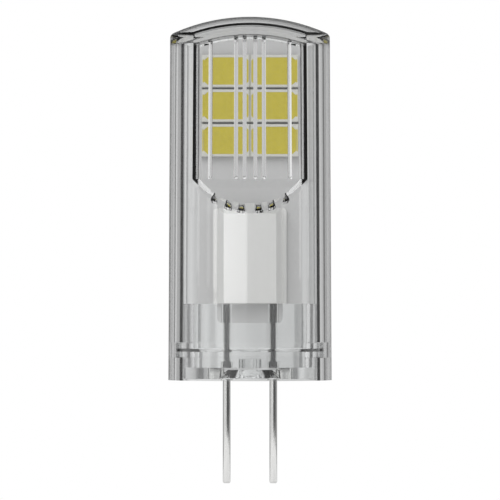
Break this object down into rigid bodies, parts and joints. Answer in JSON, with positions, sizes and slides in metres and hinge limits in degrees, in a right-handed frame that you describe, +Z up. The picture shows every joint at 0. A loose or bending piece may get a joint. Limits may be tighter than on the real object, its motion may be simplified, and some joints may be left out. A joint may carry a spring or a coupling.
{
  "type": "bi-pin led bulb",
  "caption": "Clear capsule lamp with a flat window on two sides, a white board of yellow light emitters inside, a clear base plug and two straight contact pins.",
  "frame": {"origin": "on the lamp's axis in the plane of the base's rim, where the lamp meets its socket", "axes": "+Z up the axis to the dome, +X along the line through both contact pins, -Y towards the front window; the pins point to -Z"},
  "size_m": [0.014, 0.014, 0.0399],
  "materials": {
    "clear_cover": "clear moulded",
    "clear_plug": "clear moulded",
    "board_white": "white solder mask",
    "led_white": "white moulded",
    "phosphor_yellow": "soft gel",
    "housing_white": "white moulded",
    "tinned_wire": "bright tinned",
    "solder": "satin",
    "chip_black": "matt moulded",
    "ceramic_tan": "satin",
    "ferrite_grey": "matt moulded"
  },
  "bodies": {
    "root": {"base_plug": "clear_plug", "bridge_rectifier": "chip_black", "circuit_board": "board_white", "contact_pin_left": "tinned_wire", "contact_pin_right": "tinned_wire", "current_resistor_1": "chip_black", "current_resistor_2": "chip_black", "driver_chip": "chip_black", "driver_housing_back": "housing_white", "driver_housing_front": "housing_white", "envelope_cover": "clear_cover", "led_housing_back_1": "led_white", "led_housing_back_2": "led_white", "led_housing_back_3": "led_white", "led_housing_back_4": "led_white", "led_housing_back_5": "led_white", "led_housing_back_6": "led_white", "led_housing_front_1": "led_white", "led_housing_front_2": "led_white", "led_housing_front_3": "led_white", "led_housing_front_4": "led_white", "led_housing_front_5": "led_white", "led_housing_front_6": "led_white", "led_pads_back_1": "solder", "led_pads_back_2": "solder", "led_pads_back_3": "solder", "led_pads_back_4": "solder", "led_pads_back_5": "solder", "led_pads_back_6": "solder", "led_pads_front_1": "solder", "led_pads_front_2": "solder", "led_pads_front_3": "solder", "led_pads_front_4": "solder", "led_pads_front_5": "solder", "led_pads_front_6": "solder", "led_phosphor_back_1": "phosphor_yellow", "led_phosphor_back_2": "phosphor_yellow", "led_phosphor_back_3": "phosphor_yellow", "led_phosphor_back_4": "phosphor_yellow", "led_phosphor_back_5": "phosphor_yellow", "led_phosphor_back_6": "phosphor_yellow", "led_phosphor_front_1": "phosphor_yellow", "led_phosphor_front_2": "phosphor_yellow", "led_phosphor_front_3": "phosphor_yellow", "led_phosphor_front_4": "phosphor_yellow", "led_phosphor_front_5": "phosphor_yellow", "led_phosphor_front_6": "phosphor_yellow", "power_inductor": "ferrite_grey", "smoothing_capacitor": "ceramic_tan", "solder_joint_left": "solder", "solder_joint_right": "solder"}
  },
  "joints": []
}
